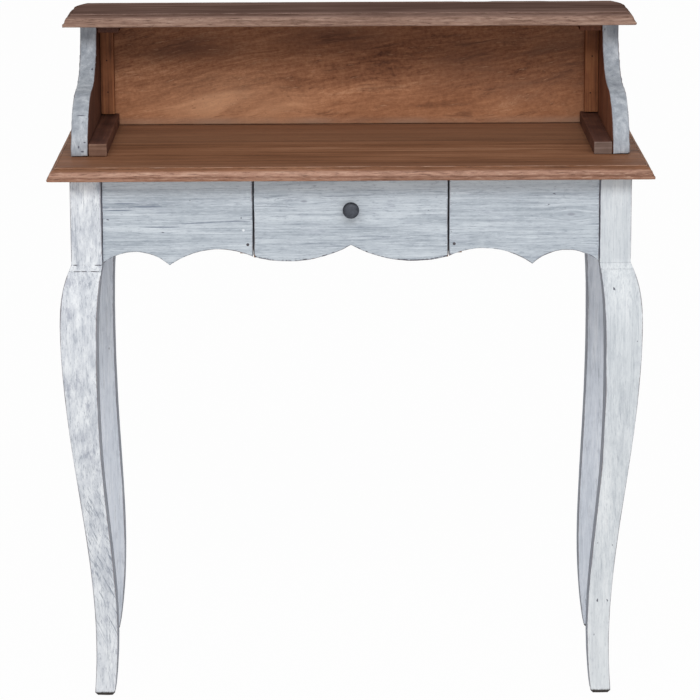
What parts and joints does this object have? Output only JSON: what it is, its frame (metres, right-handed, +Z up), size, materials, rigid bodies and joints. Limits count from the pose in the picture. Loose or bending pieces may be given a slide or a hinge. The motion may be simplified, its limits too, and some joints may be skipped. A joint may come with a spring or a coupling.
{
  "type": "writing desk",
  "caption": "Small writing desk on sawn cabriole legs, with a drawer in a scalloped apron and a raised gallery shelf at the back of its top.",
  "frame": {"origin": "on the floor, under the middle of the desktop", "axes": "+Z up, the front with the drawer looks along -Y, +X to the right as seen from the front"},
  "size_m": [0.8, 0.4, 0.912],
  "materials": {
    "whitewash": "brushed white-wash paint over wood, worn at the edges",
    "brown_top": "reddish brown satin",
    "gallery_paint": "grey-white paint outside, bare brown inside",
    "gallery_wood": "orange-brown satin",
    "raw_wood": "raw planed wood",
    "drawer_panel": "raw plywood",
    "iron": "dark forged",
    "steel": "plain"
  },
  "bodies": {
    "carcass": {"leg_front_left": "whitewash", "leg_front_right": "whitewash", "leg_rear_left": "whitewash", "leg_rear_right": "whitewash", "apron_front_left": "whitewash", "apron_front_right": "whitewash", "apron_side_left": "whitewash", "apron_side_right": "whitewash", "apron_back": "whitewash", "desktop": "brown_top", "gallery_shelf": "brown_top", "gallery_side_left": "gallery_paint", "gallery_side_right": "gallery_paint", "gallery_back": "gallery_wood", "floor_cleat_left": "gallery_wood", "floor_cleat_right": "gallery_wood", "corner_batten_left": "gallery_wood", "corner_batten_right": "gallery_wood", "shelf_cleat_left": "gallery_wood", "shelf_cleat_right": "gallery_wood", "drawer_partition_left": "raw_wood", "drawer_partition_right": "raw_wood", "drawer_runner_left": "raw_wood", "drawer_runner_right": "raw_wood", "drawer_stops": "raw_wood", "fixing_blocks": "raw_wood", "apron_nails": "steel", "desktop_screws": "steel", "gallery_screws": "steel", "shelf_screws": "steel"},
    "drawer": {"drawer_front": "whitewash", "drawer_side_left": "raw_wood", "drawer_side_right": "raw_wood", "drawer_back": "raw_wood", "drawer_bottom": "drawer_panel", "drawer_knob": "iron", "knob_screw": "steel"}
  },
  "joints": [
    {"name": "drawer_slide", "type": "slide", "parent": "carcass", "child": "drawer", "axis": [0, -1, 0], "range_m": [0, 0.24]}
  ]
}
